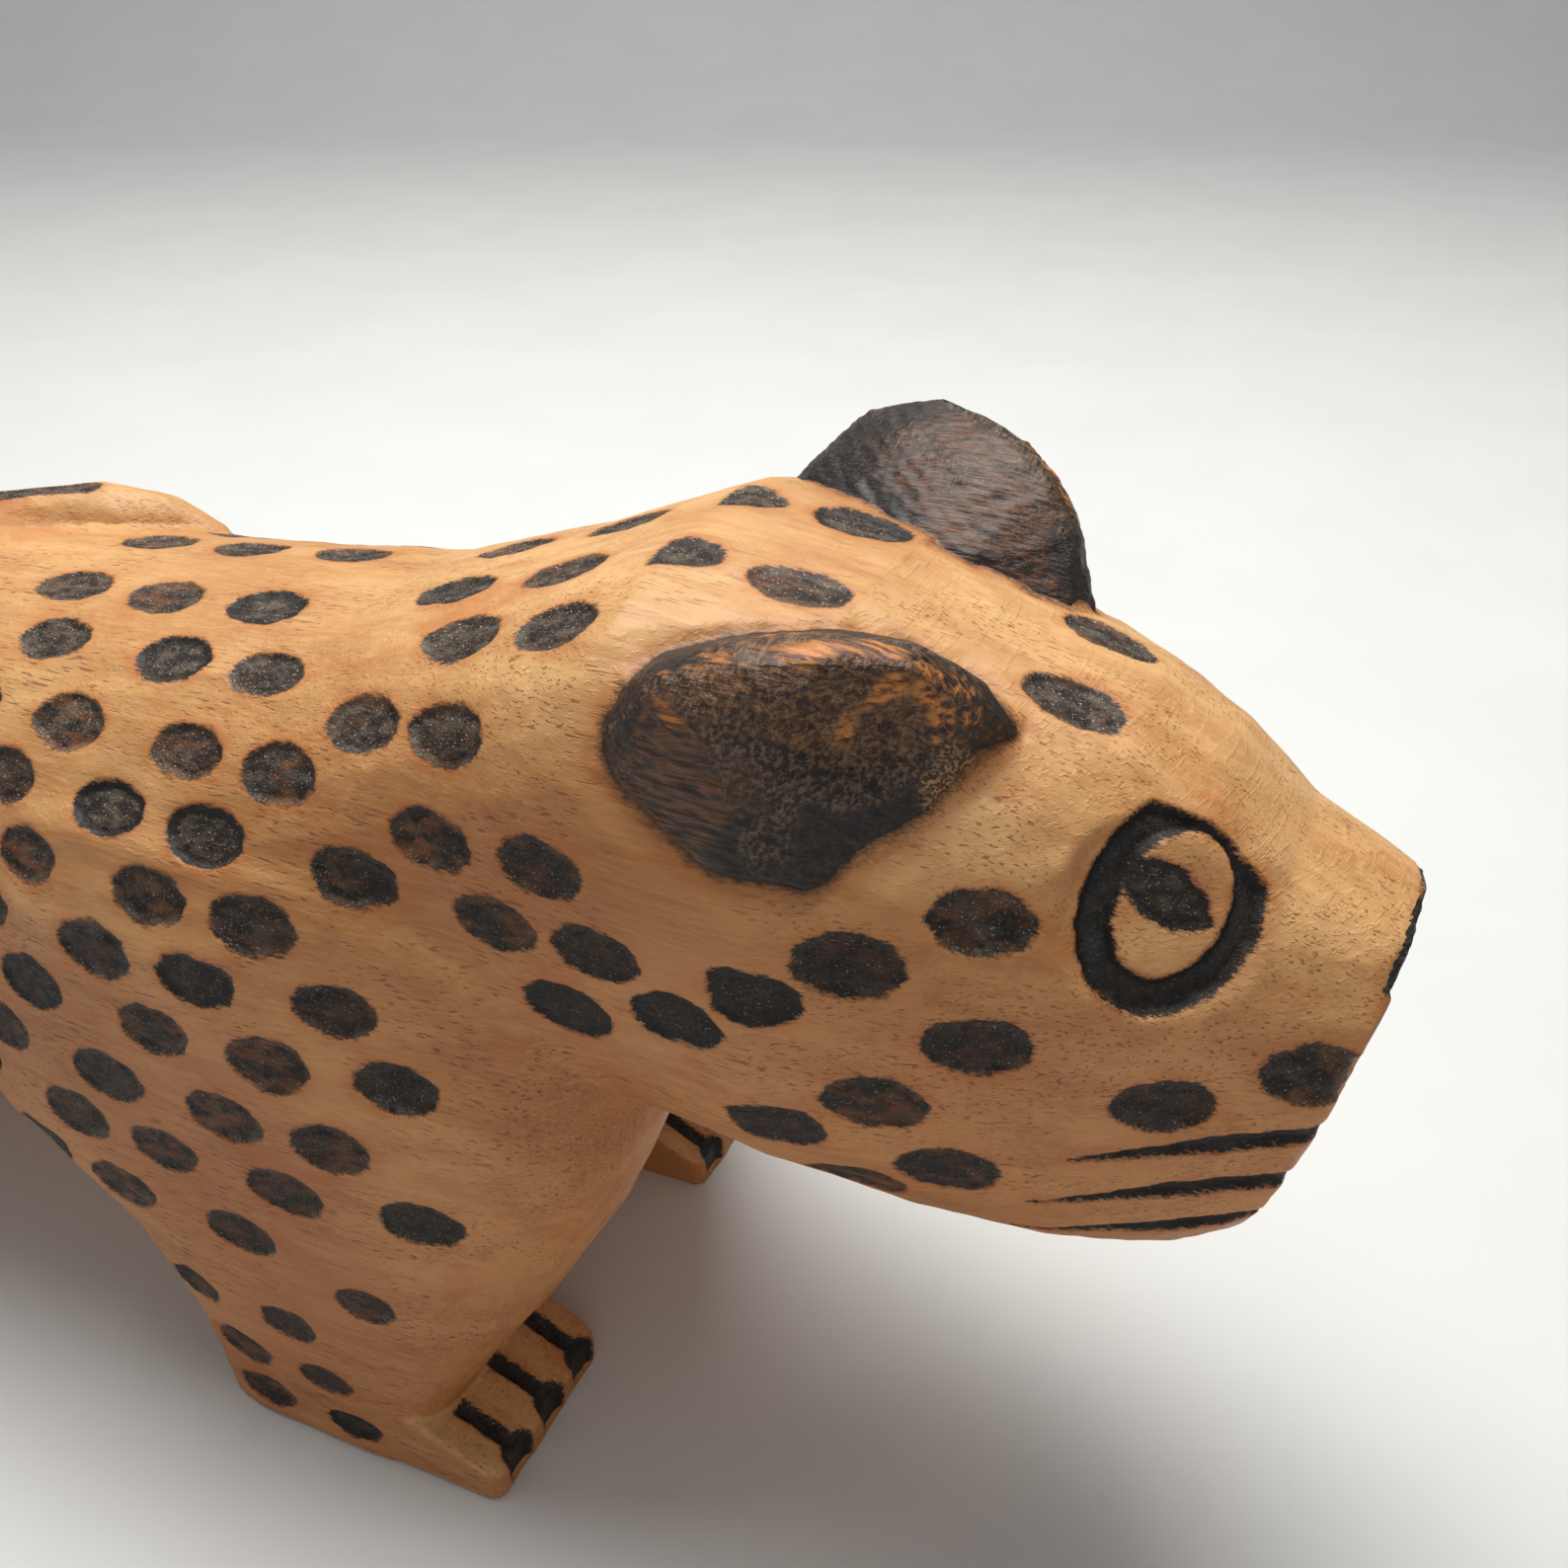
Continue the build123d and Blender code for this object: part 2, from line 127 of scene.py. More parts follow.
def evaluated(points, triangles, *modifiers):
    """Mesh after modifiers, each given as (kind, {setting: value})."""
    mesh = make_mesh("work", points, triangles)
    worker = make_piece("work", mesh)
    for kind, settings in modifiers:
        modifier = worker.modifiers.new(kind.lower(), kind)
        for key, value in settings.items():
            setattr(modifier, key, value)
    done = bpy.data.meshes.new_from_object(worker.evaluated_get(bpy.context.evaluated_depsgraph_get()))
    bpy.data.objects.remove(worker)
    return done


def remesh(points, triangles, voxel):
    done = evaluated(points, triangles, ("REMESH", {"mode": "VOXEL", "voxel_size": voxel * MM}))
    return grid(done)


def grid(mesh):
    """Vertices in millimetres and quads of an all-quad mesh."""
    points = np.empty(len(mesh.vertices) * 3, np.float32)
    mesh.vertices.foreach_get("co", points)
    loops = np.empty(len(mesh.loops), np.int32)
    mesh.loops.foreach_get("vertex_index", loops)
    return points.reshape(-1, 3).astype(float) / MM, loops.reshape(-1, 4)


def normals_of(points, quads):
    """Unit vertex normals."""
    cross = np.cross(points[quads[:, 2]] - points[quads[:, 0]], points[quads[:, 3]] - points[quads[:, 1]])
    total = np.zeros_like(points)
    for axis in range(3):
        weights = np.repeat(cross[:, axis], 4)
        total[:, axis] = np.bincount(quads.ravel(), weights, len(points))
    return total / np.maximum(np.linalg.norm(total, axis=1), 1e-9)[:, None]


def edges_of(quads):
    pairs = np.concatenate([quads[:, [k, (k + 1) % 4]] for k in range(4)])
    return np.unique(np.sort(pairs, axis=1), axis=0)


def smooth(values, edges, rounds, weight=1.0):
    """Values moved towards their neighbours' mean, round by round."""
    values = values.copy()
    a, b = edges.T
    count = np.bincount(a, minlength=len(values)) + np.bincount(b, minlength=len(values))
    flat = values.ndim == 1
    table = values[:, None] if flat else values
    share = np.broadcast_to(weight, len(values))[:, None] * 0.5
    for _ in range(rounds):
        mean = np.empty_like(table)
        for axis in range(table.shape[1]):
            column = table[:, axis]
            total = np.bincount(a, column[b], len(column)) + np.bincount(b, column[a], len(column))
            mean[:, axis] = total / np.maximum(count, 1)
        table = table + (mean - table) * share
    return table[:, 0] if flat else table


def ripple(points, wavelength, seed, stretch=(1, 1, 1)):
    """Smooth seeded noise between about -1 and 1."""
    rng = np.random.default_rng(seed)
    scaled = points / (wavelength * np.array(stretch))
    total = np.zeros(len(points))
    for _ in range(8):
        way = rng.normal(size=3)
        way *= rng.uniform(0.6, 1.6) / np.linalg.norm(way)
        total += np.sin(2 * math.pi * (scaled @ way) + rng.uniform(0, 2 * math.pi))
    return total / 4


def step(low, high, x):
    t = np.clip((x - low) / (high - low), 0, 1)
    return t * t * (3 - 2 * t)


def knife_facets(points, edges, coarse, count, pull, limit, mask=1.0):
    """Points pulled towards the flats of a coarse copy, as a knife leaves them."""
    cross_points, cross_quads = remesh(*coarse, FACET_VOXEL)
    faces = len(cross_quads) * 2
    cut = evaluated(
        cross_points,
        cross_quads,
        ("SMOOTH", {"iterations": 8}),
        ("DECIMATE", {"ratio": count / faces}),
    )
    flat_points, flat_triangles = arrays(cut)
    tree = BVHTree.FromPolygons(flat_points.tolist(), flat_triangles.tolist())
    near = np.array([tree.find_nearest(p)[0] for p in points.tolist()])
    shift = near - points
    length = np.linalg.norm(shift, axis=1)
    shift *= (np.minimum(length, limit) / np.maximum(length, 1e-9))[:, None]
    shift = smooth(shift, edges, 2)
    return points + shift * (pull * np.broadcast_to(mask, len(points)))[:, None]


# ---------------------------------------------------------------- burns read from the frame
def islands(count, triangles):
    """Label of the connected piece each vertex belongs to."""
    label = np.arange(count)
    while True:
        low = label[triangles].min(1)
        new = label.copy()
        for k in range(3):
            np.minimum.at(new, triangles[:, k], low)
        new = new[new]
        if (new == label).all():
            return label
        label = new


def floor_outline(points, triangles, tree):
    """(centre, two directions, outward axis, outline segments) of the flat floor of one burn.

    The floor is the large flat deep in the wood whose opposite side is the wood's surface. The walls of a
    narrow burn can be just as large and deep, but what lies opposite them is another buried wall.
    """
    a, b, c = points[triangles[:, 0]], points[triangles[:, 1]], points[triangles[:, 2]]
    cross = np.cross(b - a, c - a)
    area = np.linalg.norm(cross, axis=1)
    keep = area > 1e-6
    triangles, a, b, c, cross, area = triangles[keep], a[keep], b[keep], c[keep], cross[keep], area[keep]
    normal = cross / area[:, None]
    middle = (a + b + c) / 3
    _, group = np.unique(normal.round(2), axis=0, return_inverse=True)
    group = group.ravel()
    weight = np.bincount(group, area)
    best = None
    for g in np.flatnonzero(weight > FLOOR_SHARE * weight.max()):
        inside = group == g
        centre = (middle[inside] * area[inside, None]).sum(0) / area[inside].sum()
        away = tree.find_nearest(centre.tolist())[3]
        lid = normal @ normal[inside][0] < FLOOR_OPPOSITE
        if lid.any():
            opposite = (middle[lid] * area[lid, None]).sum(0) / area[lid].sum()
            away -= tree.find_nearest(opposite.tolist())[3]
        if best is None or away > best[0]:
            best = (away, normal[inside][0], centre)
    _, down, centre = best
    on_floor = (normal @ down > 0.995) & (np.abs((middle - centre) @ down) < 0.05)
    pairs = np.concatenate([triangles[on_floor][:, [k, (k + 1) % 3]] for k in range(3)])
    ordered = np.sort(pairs, axis=1)
    _, inverse, count = np.unique(ordered, axis=0, return_inverse=True, return_counts=True)
    rim = pairs[count[inverse.ravel()] == 1]
    axis = -down
    along = np.array([1.0, 0, 0]) - axis * axis[0]
    if np.linalg.norm(along) < 0.2:
        along = np.array([0, 1.0, 0]) - axis * axis[1]
    along /= np.linalg.norm(along)
    across = np.cross(axis, along)
    flat = np.stack([(points - centre) @ along, (points - centre) @ across], 1)
    return centre, along, across, axis, flat[rim]


def outline_distance(spots, segments):
    """Distance of flat points to an outline, negative inside it."""
    start, finish = segments[:, 0], segments[:, 1]
    d = finish - start
    w = spots[:, None, :] - start[None]
    t = np.clip((w * d).sum(2) / np.maximum((d * d).sum(1), 1e-12), 0, 1)
    gap = np.sqrt(((w - t[:, :, None] * d) ** 2).sum(2).min(1))
    level = spots[:, 1, None]
    spans = (start[:, 1] > level) != (finish[:, 1] > level)
    rise = np.where(np.abs(d[:, 1]) < 1e-12, 1e-12, d[:, 1])
    crossing = spans & (spots[:, 0, None] < start[:, 0] + (level - start[:, 1]) * d[:, 0] / rise)
    return np.where(crossing.sum(1) % 2 == 1, -gap, gap)


def stripe_distance(points, burn_points):
    """Distance to the burnt stripe along the tail, negative on it."""
    order = np.argsort(burn_points[:, 0])
    line = np.array([chunk.mean(0) for chunk in np.array_split(burn_points[order], 24)])
    start, finish = line[:-1], line[1:]
    d = finish - start
    w = points[:, None, :] - start[None]
    t = np.clip((w * d).sum(2) / (d * d).sum(1), 0, 1)
    return np.sqrt(((w - t[:, :, None] * d) ** 2).sum(2).min(1)) - TAIL_STRIPE_HALF


def kind_of(node):
    for kind in BURN_SINK:
        if node.endswith(kind):
            return kind
    return None


# ---------------------------------------------------------------- the block
nodes = {name: weld(*arrays(node.data)) for name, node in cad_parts.items()}
burn_nodes = [name for name in sorted(nodes) if kind_of(name)]
ear_nodes = ["left_ear", "right_ear"]


def joined(names, extra=()):
    """One point and triangle array of several nodes."""
    points, triangles, base = [], [], 0
    for p, t in [nodes[name] for name in names] + list(extra):
        points.append(p)
        triangles.append(t + base)
        base += len(p)
    return np.concatenate(points), np.concatenate(triangles)


def shrunk(points, triangles, inset):
    """A form drawn in by a little all round."""
    first = points[triangles[:, 0]]
    cross = np.cross(points[triangles[:, 1]] - first, points[triangles[:, 2]] - first)
    total = np.zeros_like(points)
    for k in range(3):
        np.add.at(total, triangles[:, k], cross)
    total /= np.maximum(np.linalg.norm(total, axis=1), 1e-9)[:, None]
    return points - total * inset, triangles


fills = [shrunk(*nodes[name], EAR_FILL_INSET) for name in ear_nodes]
whole = joined(["carved_block"] + burn_nodes, fills)
body, body_quads = remesh(*whole, BODY_VOXEL)
body_edges = edges_of(body_quads)

paw_keep = step(PAW_SHARP_BELOW, PAW_SMOOTH_ABOVE, body[:, 2])
eye_low, eye_high = (np.array(c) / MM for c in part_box("right_eye_ring"))
eye_middle = (eye_low + eye_high) / 2
eye_gap = np.linalg.norm(np.abs(body) - np.abs(eye_middle), axis=1)
eye_keep = step(EYE_SHARP_WITHIN, EYE_SMOOTH_BEYOND, eye_gap)
body = smooth(body, body_edges, 4)
body = smooth(body, body_edges, SMOOTH_ROUNDS, np.minimum(paw_keep, eye_keep) * 0.9 + 0.05)
ear_far = np.full(len(body), 99.0)
for name in ear_nodes:
    low, high = (np.array(c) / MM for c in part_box(name))
    candidates = np.flatnonzero(((body > low - 9) & (body < high + 9)).all(1))
    ear_cloud = nodes[name][0][::3]
    for chunk in np.array_split(candidates, max(1, len(candidates) // 2000)):
        gap = np.sqrt(((body[chunk, None, :] - ear_cloud[None]) ** 2).sum(2)).min(1)
        ear_far[chunk] = np.minimum(ear_far[chunk], gap)
body = smooth(body, body_edges, EAR_FOOT_ROUNDS, step(EAR_FOOT_REACH, EAR_FOOT_FULL, ear_far))
body = knife_facets(
    body, body_edges, joined(["carved_block"] + burn_nodes), BODY_FACETS, BODY_FACET_PULL, BODY_FACET_LIMIT,
    np.minimum(paw_keep, eye_keep * 0.8 + 0.2),
)
body_normals = normals_of(body, body_quads)
body = body + body_normals * (0.10 * ripple(body, 9, 3) + 0.05 * ripple(body, 3.5, 4))[:, None]
body_normals = normals_of(body, body_quads)

tree = BVHTree.FromPolygons(body.tolist(), body_quads.tolist())
sd = np.full(len(body), BURN_REACH)
owner = np.full(len(body), -1)
heat = np.full(len(body), 0.5)
sink = np.zeros(len(body))
lumpy = ripple(body, 4.0, 11, (1.6, 1, 1)) * 0.22 + ripple(body, 1.6, 12, (1.8, 1, 1)) * 0.16
rng = np.random.default_rng(7)
for index, name in enumerate(burn_nodes):
    points, triangles = nodes[name]
    kind = kind_of(name)
    if kind == "tail_burn":
        reach = np.ptp(points, axis=0) / 2 + BURN_REACH
        near = np.flatnonzero((np.abs(body - points.mean(0)) < reach).all(1))
        parts = [(near, stripe_distance(body[near], points), 0.35)]
    else:
        label = islands(len(points), triangles)
        parts = []
        for island in np.unique(label[triangles[:, 0]]):
            chosen = triangles[label[triangles[:, 0]] == island]
            centre, along, across, axis, segments = floor_outline(points, chosen, tree)
            reach = np.linalg.norm(segments, axis=2).max() + BURN_REACH
            near = np.flatnonzero(((body - centre) ** 2).sum(1) < reach * reach)
            offset = body[near] - centre
            height = offset @ axis
            facing = body_normals[near] @ axis
            usable = (height > -0.8) & (height < 5.0) & (facing > 0.1)
            near, offset = near[usable], offset[usable]
            flat = np.stack([offset @ along, offset @ across], 1)
            distance = outline_distance(flat, segments)
            if kind == "spots":
                parts.append((near, distance + rng.uniform(-0.35, 0.15), rng.uniform(0, 1) ** 1.5))
            else:
                parts.append((near, distance - BURN_SPREAD[kind], DEEP_WARMTH))
    for near, distance, warmth in parts:
        distance = distance + lumpy[near] * (1.0 if kind == "spots" else 0.5)
        closer = distance < sd[near]
        chosen = near[closer]
        sd[chosen] = distance[closer]
        owner[chosen] = index
        heat[chosen] = warmth
        depth = BURN_SINK[kind] * step(0.25, -0.75, distance)
        sink[near] = np.maximum(sink[near], depth)
body = body - body_normals * sink[:, None]
body = body - body_normals * (0.12 * step(0.2, -0.6, sd) * (0.5 + 0.5 * ripple(body, 1.7, 15)))[:, None]


# ---------------------------------------------------------------- the ears
def ear_form(name):
    """A scorched ear with knife flats and a groove cut round its foot: points, quads, groove share."""
    points, quads = remesh(*nodes[name], EAR_VOXEL)
    edges = edges_of(quads)
    points = smooth(points, edges, 4)
    points = knife_facets(points, edges, nodes[name], EAR_FACETS, EAR_FACET_PULL, EAR_FACET_LIMIT)
    hits = [tree.find_nearest(p) for p in points.tolist()]
    near = np.array([h[0] for h in hits])
    facing = np.array([h[1] for h in hits])
    clear = ((points - near) * facing).sum(1)
    groove = step(0.0, 1.0, clear) * step(4.2, 2.6, clear)
    normals = normals_of(points, quads)
    cuts = ripple(points, 2.2, 21, (1, 2.2, 1)) * 0.10 + ripple(points, 0.9, 22, (2.5, 1, 1)) * 0.05
    points = points + normals * (cuts - 0.55 * groove)[:, None]
    return points, quads, groove


ears = {name: ear_form(name) for name in ear_nodes}
ear_points = np.concatenate([ears[name][0] for name in ear_nodes])
ear_quads = np.concatenate([ears[ear_nodes[0]][1], ears[ear_nodes[1]][1] + len(ears[ear_nodes[0]][0])])
ear_tree = BVHTree.FromPolygons(ear_points.tolist(), ear_quads.tolist())
ear_gap = np.full(len(body), BURN_REACH)
ear_low, ear_high = ear_points.min(0) - BURN_REACH, ear_points.max(0) + BURN_REACH
around = np.flatnonzero(((body > ear_low) & (body < ear_high)).all(1))
for k in around.tolist():
    hit = ear_tree.find_nearest(body[k].tolist(), BURN_REACH)
    if hit[0] is not None:
        ear_gap[k] = hit[3]
foot = step(1.8, 0.2, ear_gap)
body = body - normals_of(body, body_quads) * (0.5 * foot)[:, None]


# ---------------------------------------------------------------- materials
class Graph:
    """Short hand for building a node material."""

    def __init__(self, name):
        self.material = bpy.data.materials.new(name)
        self.material.use_nodes = True
        self.tree = self.material.node_tree
        self.tree.nodes.clear()
        self.output = self.tree.nodes.new("ShaderNodeOutputMaterial")

    def node(self, kind, inputs=None, **settings):
        made = self.tree.nodes.new("ShaderNode" + kind)
        for key, value in settings.items():
            setattr(made, key, value)
        for key, value in (inputs or {}).items():
            if isinstance(value, bpy.types.NodeSocket):
                self.tree.links.new(value, made.inputs[key])
            else:
                made.inputs[key].default_value = value
        return made

    def math(self, operation, a, b=0.0, c=0.0):
        return self.node("Math", {0: a, 1: b, 2: c}, operation=operation).outputs[0]

    def smooth_step(self, value, low, high):
        made = self.node("MapRange", {0: value, 1: low, 2: high}, interpolation_type="SMOOTHSTEP")
        return made.outputs[0]

    def mix(self, share, a, b, blend="MIX"):
        made = self.node("Mix", {0: share, 6: a, 7: b}, data_type="RGBA", blend_type=blend)
        return made.outputs[2]

    def noise(self, place, stretch, scale=1.0, detail=2.0, rough=0.5, distort=0.0):
        scaled = self.node("VectorMath", {0: place, 1: stretch}, operation="MULTIPLY").outputs[0]
        made = self.node("TexNoise", {"Vector": scaled, "Scale": scale, "Detail": detail, "Roughness": rough,
                                      "Distortion": distort})
        return made.outputs[0]

    def attribute(self, name):
        return self.node("Attribute", attribute_name=name).outputs["Fac"]

    def place(self):
        """Position in millimetres in the row frame."""
        spot = self.node("TexCoord").outputs["Object"]
        return self.node("VectorMath", {0: spot, 1: (1000, 1000, 1000)}, operation="MULTIPLY").outputs[0]


def srgb(r, g, b):
    """Linear colour of an sRGB one given in 0 to 255."""
    def one(c):
        c /= 255
        return c / 12.92 if c <= 0.04045 else ((c + 0.055) / 1.055) ** 2.4
    return (one(r), one(g), one(b), 1)


def wood_look(g, place):
    """Colour, roughness and height of bare wood, its grain along X."""
    blotch = g.noise(place, (0.018, 0.035, 0.035), detail=3, rough=0.55)
    figure = g.noise(place, (0.03, 0.32, 0.32), detail=3, rough=0.6, distort=0.4)
    fibre = g.noise(place, (0.10, 2.4, 2.4), detail=3, rough=0.6)
    pore = g.noise(place, (0.34, 3.4, 3.4), detail=1, rough=0.5)
    pore_patch = g.noise(place, (0.05, 0.12, 0.12), detail=1)
    pores = g.math("MULTIPLY", g.smooth_step(pore, 0.60, 0.70), g.smooth_step(pore_patch, 0.35, 0.6))
    colour = g.mix(g.smooth_step(blotch, 0.38, 0.62), srgb(218, 170, 112), srgb(192, 138, 82))
    colour = g.mix(g.math("MULTIPLY", g.smooth_step(figure, 0.42, 0.66), 0.40), colour, srgb(168, 108, 58))
    colour = g.mix(g.math("MULTIPLY", g.smooth_step(fibre, 0.38, 0.75), 0.28), colour, srgb(236, 194, 142))
    amber = g.noise(place, (0.05, 0.09, 0.09), detail=4, rough=0.6, distort=0.6)
    colour = g.mix(g.math("MULTIPLY", g.smooth_step(amber, 0.55, 0.70), 0.5), colour, srgb(188, 110, 48))
    colour = g.mix(g.math("MULTIPLY", pores, 0.62), colour, srgb(96, 54, 26))
    height = g.math("SUBTRACT", g.math("MULTIPLY", fibre, 0.35), g.math("MULTIPLY", pores, 0.8))
    scratch = g.noise(place, (0.9, 0.16, 2.2), detail=2, rough=0.6, distort=0.3)
    height = g.math("ADD", height, g.math("MULTIPLY", g.smooth_step(scratch, 0.5, 0.72), 0.5))
    waves = g.noise(place, (0.30, 0.20, 0.30), detail=1)
    height = g.math("ADD", height, g.math("MULTIPLY", waves, 2.0))
    rough = g.math("ADD", 0.42, g.math("MULTIPLY", blotch, 0.18))
    return colour, rough, height


def char_look(g, place, warmth):
    """Colour, roughness and height of charred wood: warmth 1 is only browned. The colour also carries painted
    sheen and painted glints, stronger on upward-facing faces.
    """
    grit = g.noise(place, (1.6, 2.6, 2.6), detail=4, rough=0.75)
    crackle = g.node("TexVoronoi", {"Vector": g.node("VectorMath", {0: place, 1: (1.1, 1.9, 1.9)},
                                                     operation="MULTIPLY").outputs[0], "Scale": 1.0},
                     feature="DISTANCE_TO_EDGE").outputs[0]
    bloom = g.noise(place, (0.35, 0.6, 0.6), detail=4, rough=0.7)
    painted_glint_noise = g.noise(place, (3.2, 4.5, 4.5), detail=2, rough=0.6)
    brown = g.noise(place, (0.22, 0.5, 0.5), detail=3, rough=0.6)
    colour = g.mix(g.smooth_step(grit, 0.35, 0.70), srgb(15, 11, 9), srgb(46, 34, 26))
    toasted = g.math("MULTIPLY", g.smooth_step(brown, 0.42, 0.68), warmth)
    colour = g.mix(g.math("MULTIPLY", toasted, 0.9), colour, srgb(124, 74, 40))
    # Grey ash bloom on the char, partly real and partly painted sheen: the bloom grows on upward-facing faces
    # to stand in for the sky's reflection.
    upward = g.node("SeparateXYZ", {0: g.node("NewGeometry").outputs["Normal"]}).outputs[2]
    painted_sheen_share = g.smooth_step(upward, 0.1, 0.85)
    half_painted_sheen = g.math("MULTIPLY", painted_sheen_share, 0.5)
    bloom_and_painted_sheen = g.math("MULTIPLY", g.smooth_step(bloom, 0.42, 0.66), g.math("ADD", 0.06, half_painted_sheen))
    colour = g.mix(bloom_and_painted_sheen, colour, srgb(122, 106, 88))
    # Painted highlights: pale specks stand in for glints on the char, with more of them on upward-facing
    # faces.
    painted_glints = g.math("MULTIPLY", g.smooth_step(painted_glint_noise, 0.62, 0.70), g.math("ADD", 0.3, half_painted_sheen))
    colour = g.mix(painted_glints, colour, srgb(206, 194, 174))
    height = g.math("ADD", g.math("MULTIPLY", grit, 2.2), g.math("MULTIPLY", crackle, 1.2))
    rough = g.math("SUBTRACT", 0.62, g.math("MULTIPLY", g.smooth_step(bloom, 0.4, 0.7), 0.18))
    return colour, rough, height


def finish_graph(g, colour, rough, height, distance=0.00025, strength=0.5, coat=0.0):
    bump = g.node("Bump", {"Strength": strength, "Distance": distance, "Height": height}).outputs[0]
    shader = g.node("BsdfPrincipled", {"Base Color": colour, "Roughness": rough, "Normal": bump,
                                       "Specular IOR Level": 0.35,
                                       "Coat Weight": coat, "Coat Roughness": 0.3})
    g.tree.links.new(shader.outputs[0], g.output.inputs["Surface"])
    return g.material


def body_material():
    """Bare wood, tinted darker on its side- and downward-facing faces as painted shade, with ragged scorched
    edges where it meets the burns and the ears.
    """
    g = Graph("bare_wood")
    place = g.place()
    colour, rough, height = wood_look(g, place)
    # Painted shade: wood facing sideways or down is multiplied towards a darker brown by its normal, standing
    # in for shade away from the top light.
    upward = g.node("SeparateXYZ", {0: g.node("NewGeometry").outputs["Normal"]}).outputs[2]
    painted_side_shade = g.math("MULTIPLY", g.smooth_step(upward, 0.85, -0.05), 0.9)
    colour = g.mix(painted_side_shade, colour, (0.75, 0.55, 0.43, 1), "MULTIPLY")
    sd_mm, warmth, gap = g.attribute("burn_sd"), g.attribute("burn_heat"), g.attribute("ear_gap")
    ragged = g.noise(place, (1.0, 3.2, 3.2), detail=3, rough=0.65)
    ragged = g.math("MULTIPLY", g.math("SUBTRACT", ragged, 0.5), 1.5)
    edge = g.math("ADD", sd_mm, ragged)
    halo = g.smooth_step(edge, 2.2, 0.1)
    scorch = g.smooth_step(edge, 0.45, -0.02)
    patchy = g.smooth_step(g.noise(place, (0.08, 0.12, 0.12), detail=2), 0.35, 0.7)
    colour = g.mix(g.math("MULTIPLY", halo, g.math("ADD", 0.12, g.math("MULTIPLY", patchy, 0.4))), colour,
                   srgb(182, 100, 42))
    colour = g.mix(g.math("MULTIPLY", scorch, 0.7), colour, srgb(88, 46, 22))
    ear_edge = g.math("ADD", gap, g.math("MULTIPLY", ragged, 0.9))
    colour = g.mix(g.math("MULTIPLY", g.smooth_step(ear_edge, 3.2, 0.4), 0.5), colour, srgb(170, 96, 44))
    colour = g.mix(g.math("MULTIPLY", g.smooth_step(ear_edge, 1.1, 0.2), 0.9), colour, srgb(46, 28, 18))
    black, black_rough, black_height = char_look(g, place, warmth)
    black = g.mix(g.smooth_step(warmth, 0.12, 0.06), black, g.mix(0.7, black, srgb(13, 10, 9)))
    burnt = g.smooth_step(edge, 0.04, -0.06)
    colour = g.mix(burnt, colour, black)
    rough = g.node("Mix", {0: burnt, 2: rough, 3: black_rough}).outputs[0]
    height = g.node("Mix", {0: burnt, 2: height, 3: black_height}).outputs[0]
    return finish_graph(g, colour, rough, height, strength=0.45, coat=0.08)


def char_material(name, shine=0.0):
    g = Graph(name)
    place = g.place()
    colour, rough, height = char_look(g, place, g.attribute("burn_heat"))
    if shine:
        rough = g.math("MULTIPLY", rough, 1 - shine * 0.6)
        colour = g.mix(0.7, colour, srgb(13, 10, 9))
    return finish_graph(g, colour, rough, height, strength=0.6, coat=shine * 0.4)


def ear_material():
    """Scorched wood: black hollow, brown behind it, amber on the crest, a ribbed groove round the foot."""
    g = Graph("ear_char")
    place = g.place()
    grain = g.noise(place, (0.12, 1.3, 1.3), detail=4, rough=0.65, distort=0.3)
    streak = g.noise(place, (0.22, 2.6, 2.6), detail=3, rough=0.6)
    patch = g.noise(place, (0.12, 0.2, 0.2), detail=4, rough=0.6)
    wander = g.math("MULTIPLY", g.math("SUBTRACT", patch, 0.5), 1.2)
    char, black_rough, black_height = char_look(g, place, 0.15)
    lined = g.mix(g.smooth_step(streak, 0.42, 0.66), srgb(16, 12, 11), srgb(50, 39, 33))
    black = g.mix(0.08, lined, char)
    brown = g.mix(g.smooth_step(streak, 0.38, 0.62), srgb(44, 28, 20), srgb(112, 72, 44))
    brown_share = g.smooth_step(g.math("ADD", g.attribute("brown"), wander), 0.35, 0.65)
    colour = g.mix(g.math("MULTIPLY", brown_share, 0.9), black, brown)
    amber = g.mix(g.smooth_step(grain, 0.38, 0.62), srgb(92, 42, 16), srgb(208, 132, 56))
    amber_edge = g.math("ADD", g.attribute("amber"), g.math("MULTIPLY", g.math("SUBTRACT", grain, 0.5), 0.8))
    amber_edge = g.math("ADD", amber_edge, g.math("MULTIPLY", wander, 0.5))
    colour = g.mix(g.smooth_step(amber_edge, 0.28, 0.56), colour, amber)
    tan = g.mix(g.smooth_step(streak, 0.45, 0.6), srgb(60, 40, 28), srgb(168, 130, 90))
    colour = g.mix(g.smooth_step(g.math("ADD", g.attribute("tan"), wander), 0.45, 0.75), colour, tan)
    groove = g.attribute("groove")
    ribs = g.noise(place, (2.0, 0.5, 2.0), detail=3, rough=0.7)
    ribbed = g.mix(g.smooth_step(ribs, 0.42, 0.66), srgb(28, 20, 16), srgb(128, 98, 72))
    colour = g.mix(g.math("MULTIPLY", g.smooth_step(groove, 0.15, 0.6), 0.85), colour, ribbed)
    height = g.math("ADD", g.math("MULTIPLY", grain, 1.6), g.math("MULTIPLY", streak, 1.4))
    height = g.math("ADD", height, g.math("MULTIPLY", black_height, 0.08))
    height = g.math("ADD", height, g.math("MULTIPLY", g.math("MULTIPLY", ribs, groove), 2.5))
    return finish_graph(g, colour, g.math("MULTIPLY", black_rough, 0.8), height, strength=0.8, coat=0.2)


# ---------------------------------------------------------------- pieces
def set_attribute(mesh, name, values):
    layer = mesh.attributes.new(name, "FLOAT", "POINT")
    layer.data.foreach_set("value", values.astype(np.float32))


